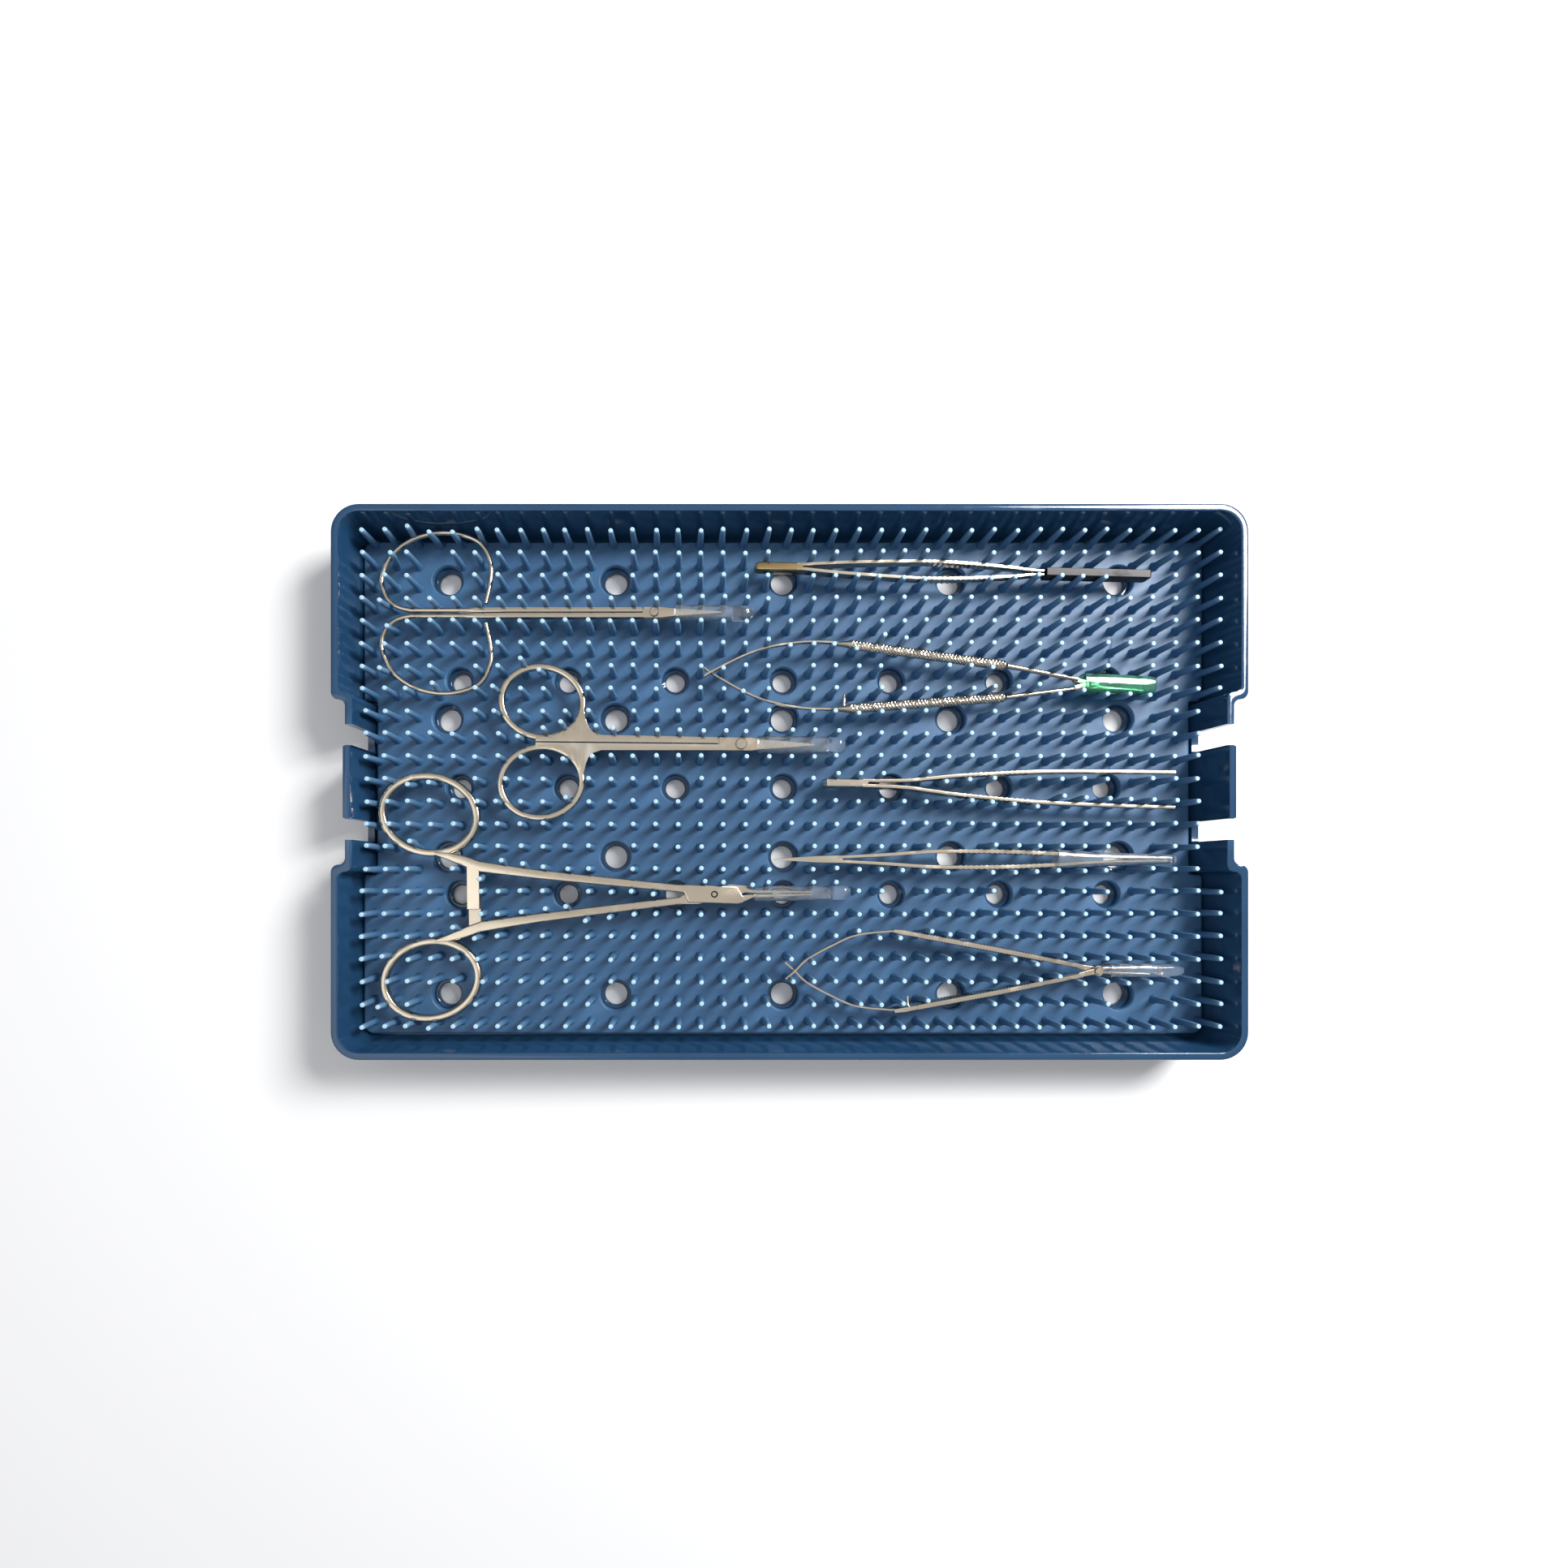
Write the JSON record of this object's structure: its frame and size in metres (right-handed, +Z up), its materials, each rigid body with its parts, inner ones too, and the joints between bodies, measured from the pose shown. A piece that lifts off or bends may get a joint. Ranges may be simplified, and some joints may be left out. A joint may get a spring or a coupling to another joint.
{
  "type": "instrument tray",
  "caption": "Shallow blue plastic tray with drain holes and latch slots, a silicone finger mat, and a set of scissors, forceps and needle holders with tip guards.",
  "frame": {"origin": "middle of the tray's underside", "axes": "+X along the long side towards the instruments' tips, +Y across the tray, +Z up out of the tray"},
  "size_m": [0.254, 0.154, 0.019],
  "materials": {
    "blue_plastic": "glossy moulded",
    "silicone": "translucent satin silicone",
    "steel": "satin stainless",
    "brass": "satin gilt",
    "clear_guard": "clear flexible tube",
    "green_guard": "translucent green tube",
    "black_guard": "satin black tube"
  },
  "bodies": {
    "tray": {"tray_base": "blue_plastic"},
    "mat": {"finger_mat": "silicone"},
    "loop_scissors": {"loop_scissors_upper_half": "steel", "loop_scissors_screw": "steel"},
    "loop_scissors_lower": {"loop_scissors_lower_half": "steel"},
    "loop_guard": {"loop_scissors_tip_guard": "clear_guard"},
    "iris_scissors": {"iris_scissors_upper_half": "steel", "iris_scissors_screw": "steel"},
    "iris_scissors_lower": {"iris_scissors_lower_half": "steel"},
    "iris_guard": {"iris_scissors_tip_guard": "clear_guard"},
    "clamp": {"clamp_upper_half": "steel", "clamp_pin": "steel"},
    "clamp_lower": {"clamp_lower_half": "steel"},
    "clamp_guard": {"clamp_tip_guard": "clear_guard"},
    "sheathed_forceps": {"sheathed_forceps_tail": "brass", "sheathed_forceps_upper_leg": "steel", "sheathed_forceps_lower_leg": "steel"},
    "sheath": {"sheathed_forceps_sheath": "black_guard"},
    "round_needle_holder": {"round_needle_holder_upper_handle": "steel", "round_needle_holder_upper_spring": "steel", "round_needle_holder_lower_spring": "steel", "round_needle_holder_pivot_screw": "steel"},
    "round_needle_holder_lower": {"round_needle_holder_lower_handle": "steel", "round_needle_holder_stop_post": "steel"},
    "round_guard": {"round_needle_holder_tip_guard": "green_guard"},
    "tweezers": {"tweezers_tail": "steel"},
    "tweezers_upper": {"tweezers_upper_leg": "steel"},
    "tweezers_lower": {"tweezers_lower_leg": "steel"},
    "slim_forceps": {"slim_forceps_tail": "steel", "slim_forceps_upper_leg": "steel", "slim_forceps_lower_leg": "steel"},
    "slim_guard": {"slim_forceps_tip_guard": "clear_guard"},
    "flat_needle_holder": {"flat_needle_holder_upper_handle": "steel", "flat_needle_holder_upper_spring": "steel", "flat_needle_holder_lower_spring": "steel", "flat_needle_holder_pivot_screw": "steel"},
    "flat_needle_holder_lower": {"flat_needle_holder_lower_handle": "steel", "flat_needle_holder_stop_post": "steel"},
    "flat_guard": {"flat_needle_holder_tip_guard": "clear_guard"}
  },
  "joints": [
    {"name": "mat_lift", "type": "slide", "parent": "tray", "child": "mat", "axis": [0, 0, 1], "range_m": [0, 0.05]},
    {"name": "loop_scissors_lift", "type": "slide", "parent": "mat", "child": "loop_scissors", "axis": [0, 0, 1], "range_m": [0, 0.08]},
    {"name": "iris_scissors_lift", "type": "slide", "parent": "mat", "child": "iris_scissors", "axis": [0, 0, 1], "range_m": [0, 0.08]},
    {"name": "clamp_lift", "type": "slide", "parent": "mat", "child": "clamp", "axis": [0, 0, 1], "range_m": [0, 0.08]},
    {"name": "sheathed_forceps_lift", "type": "slide", "parent": "mat", "child": "sheathed_forceps", "axis": [0, 0, 1], "range_m": [0, 0.08]},
    {"name": "round_needle_holder_lift", "type": "slide", "parent": "mat", "child": "round_needle_holder", "axis": [0, 0, 1], "range_m": [0, 0.08]},
    {"name": "tweezers_lift", "type": "slide", "parent": "mat", "child": "tweezers", "axis": [0, 0, 1], "range_m": [0, 0.08]},
    {"name": "slim_forceps_lift", "type": "slide", "parent": "mat", "child": "slim_forceps", "axis": [0, 0, 1], "range_m": [0, 0.08]},
    {"name": "flat_needle_holder_lift", "type": "slide", "parent": "mat", "child": "flat_needle_holder", "axis": [0, 0, 1], "range_m": [0, 0.08]},
    {"name": "loop_scissors_pivot", "type": "hinge", "parent": "loop_scissors", "child": "loop_scissors_lower", "pos_m": [-0.0377, 0.0495, 0.01], "axis": [0, 0, 1], "range_deg": [0, 4]},
    {"name": "iris_scissors_pivot", "type": "hinge", "parent": "iris_scissors", "child": "iris_scissors_lower", "pos_m": [-0.0128, 0.0118, 0.01], "axis": [0, 0, 1], "range_deg": [0, 4]},
    {"name": "clamp_pivot", "type": "hinge", "parent": "clamp", "child": "clamp_lower", "pos_m": [-0.0205, -0.0312, 0.01], "axis": [0, 0, 1], "range_deg": [0, 2.2]},
    {"name": "round_needle_holder_squeeze", "type": "hinge", "parent": "round_needle_holder", "child": "round_needle_holder_lower", "pos_m": [0.088, 0.0291, 0.01], "axis": [0, 0, -1], "range_deg": [0, 9], "stiffness_Nm_per_rad": 0.05, "deforming": ["round_needle_holder_lower_spring"]},
    {"name": "flat_needle_holder_squeeze", "type": "hinge", "parent": "flat_needle_holder", "child": "flat_needle_holder_lower", "pos_m": [0.0895, -0.0531, 0.01], "axis": [0, 0, -1], "range_deg": [0, 6], "stiffness_Nm_per_rad": 0.05, "deforming": ["flat_needle_holder_lower_spring"]},
    {"name": "tweezers_upper_squeeze", "type": "hinge", "parent": "tweezers", "child": "tweezers_upper", "pos_m": [0.0311, 0.00025, 0.01], "axis": [0, 0, -1], "range_deg": [0, 2.8], "stiffness_Nm_per_rad": 0.05},
    {"name": "tweezers_lower_squeeze", "type": "hinge", "parent": "tweezers", "child": "tweezers_lower", "pos_m": [0.0311, 0.00025, 0.01], "axis": [0, 0, -1], "range_deg": [-2.8, 0], "stiffness_Nm_per_rad": 0.05},
    {"name": "loop_guard_slide", "type": "slide", "parent": "loop_scissors", "child": "loop_guard", "axis": [1, 0, 0], "range_m": [0, 0.022]},
    {"name": "iris_guard_slide", "type": "slide", "parent": "iris_scissors", "child": "iris_guard", "axis": [0.9999, -0.0105, 0], "range_m": [0, 0.022]},
    {"name": "clamp_guard_slide", "type": "slide", "parent": "clamp", "child": "clamp_guard", "axis": [0.9999, 0.0105, 0], "range_m": [0, 0.024]},
    {"name": "sheath_slide", "type": "slide", "parent": "sheathed_forceps", "child": "sheath", "axis": [0.9998, -0.0218, 0], "range_m": [0, 0.018]},
    {"name": "round_guard_slide", "type": "slide", "parent": "round_needle_holder", "child": "round_guard", "axis": [0.9995, -0.0305, 0], "range_m": [0, 0.0145]},
    {"name": "slim_guard_slide", "type": "slide", "parent": "slim_forceps", "child": "slim_guard", "axis": [1, 0, 0], "range_m": [0, 0.0075]},
    {"name": "flat_guard_slide", "type": "slide", "parent": "flat_needle_holder", "child": "flat_guard", "axis": [1, 0, 0], "range_m": [0, 0.009]}
  ],
  "couplings": [
    {"joint": "tweezers_lower_squeeze", "follows": "tweezers_upper_squeeze", "ratio": -1}
  ]
}
